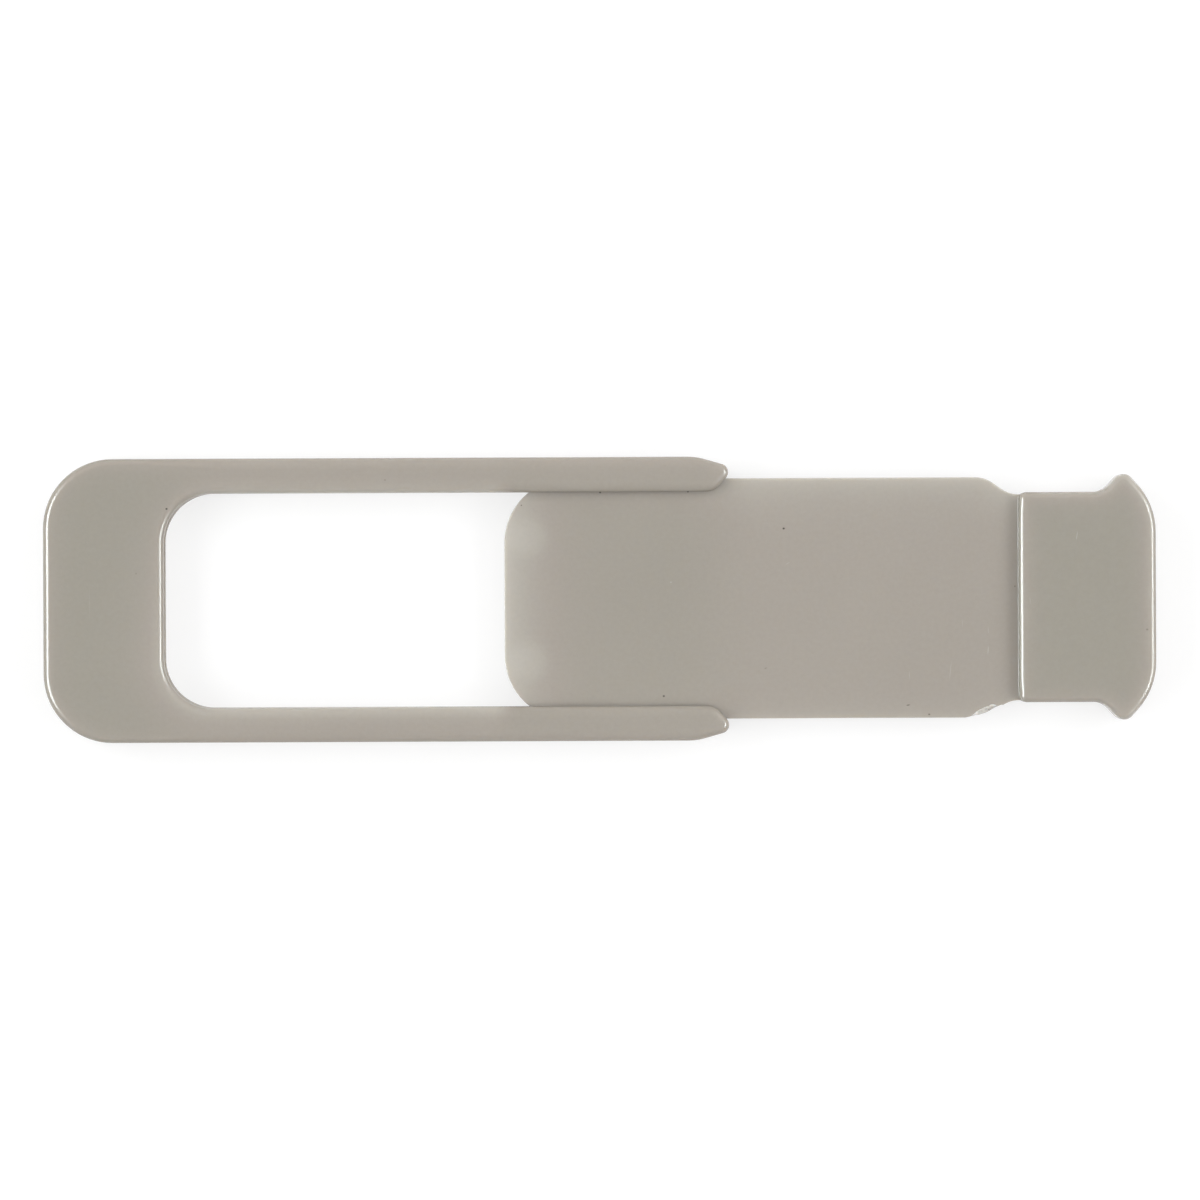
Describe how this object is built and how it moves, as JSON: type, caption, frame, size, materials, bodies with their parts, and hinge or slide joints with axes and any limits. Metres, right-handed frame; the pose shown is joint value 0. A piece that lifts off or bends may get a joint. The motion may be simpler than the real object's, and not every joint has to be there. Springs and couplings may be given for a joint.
{
  "type": "sliding webcam cover",
  "caption": "Flat stick-on webcam cover: a thin shutter plate with a raised, horned grip slides along the slotted arms of a U-shaped frame to clear or block the camera window.",
  "frame": {"origin": "on the bonding plane, under the middle of the cover's outline as it stands open", "axes": "+X along the slide, from the frame's closed end to the grip; +Y across the arms; +Z away from the surface it is stuck to"},
  "size_m": [0.0498, 0.0126, 0.0023],
  "materials": {
    "frame_plastic": "satin moulded plastic, warm light grey",
    "slider_plastic": "satin moulded plastic, warm light grey, slightly translucent where thin",
    "tape": "tacky, off-white double-sided tape"
  },
  "bodies": {
    "frame_body": {"frame": "frame_plastic", "adhesive_tape": "tape"},
    "slider_body": {"slider": "slider_plastic"}
  },
  "joints": [
    {"name": "cover_slide", "type": "slide", "parent": "frame_body", "child": "slider_body", "axis": [1, 0, 0], "range_m": [-0.0173, 0]}
  ]
}
